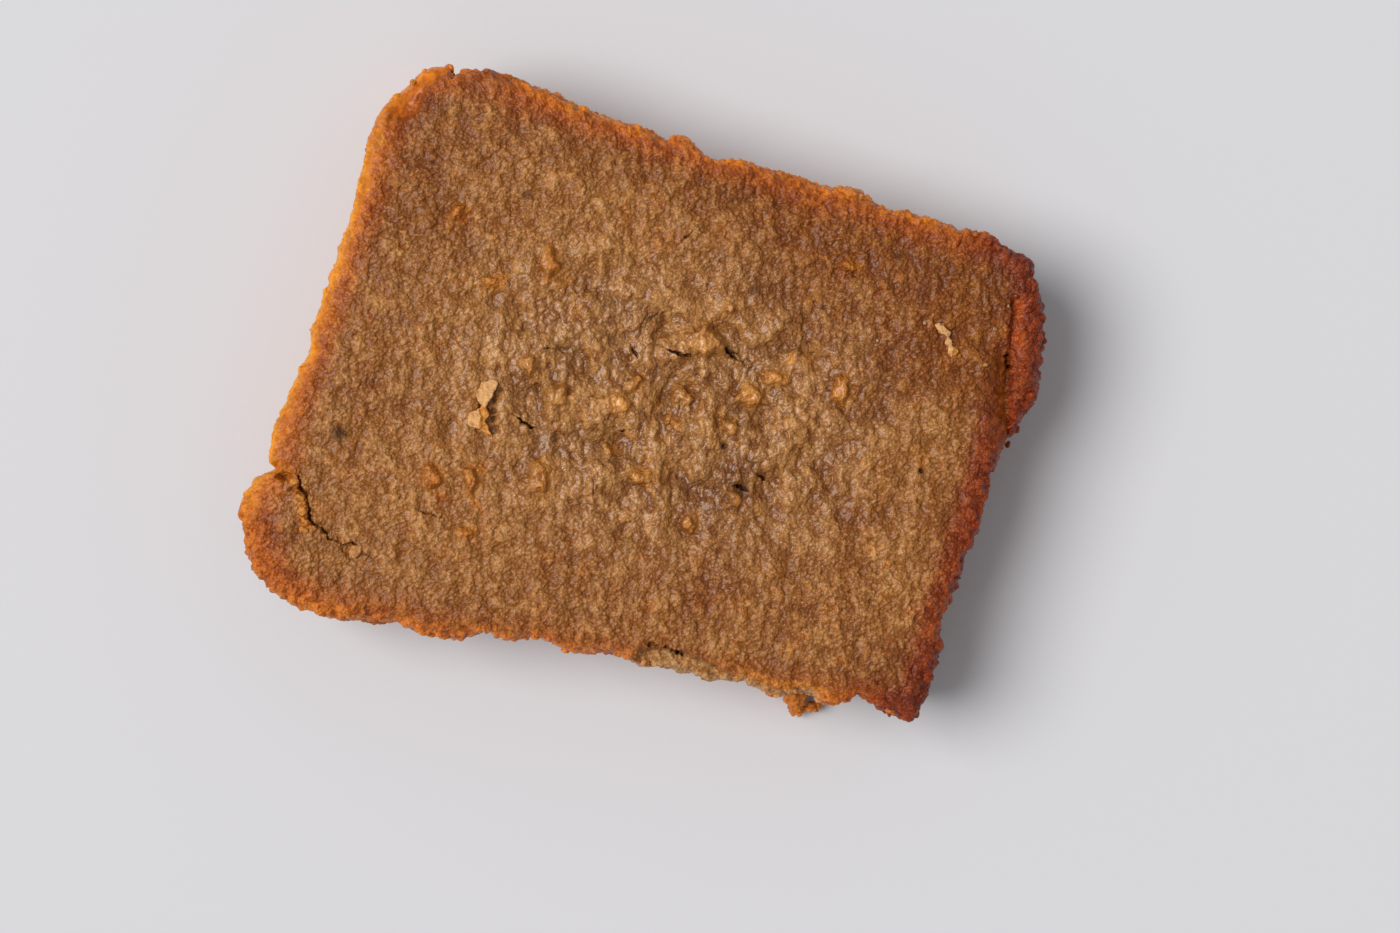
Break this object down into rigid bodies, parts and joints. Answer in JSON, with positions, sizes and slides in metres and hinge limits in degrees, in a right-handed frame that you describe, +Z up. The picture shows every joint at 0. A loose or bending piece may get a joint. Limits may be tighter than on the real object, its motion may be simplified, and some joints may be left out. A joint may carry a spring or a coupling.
{
  "type": "bread pudding",
  "caption": "Rectangular slab of baked bread pudding with a moist, lumpy top, a browned rim, cracked corners, crumbling walls and a flat base.",
  "frame": {"origin": "under the middle of the slab, on the surface that it rests on", "axes": "+X along the long sides, away from the split corner; +Y towards the long side with the knob on its rim; +Z up through the top"},
  "size_m": [0.1164, 0.0891, 0.026],
  "materials": {
    "baked_crust": "moist baked crumb, olive tan and glossy in the middle of the top, browned orange at the rim and walls"
  },
  "bodies": {
    "root": {"bread_pudding": "baked_crust"}
  },
  "joints": []
}
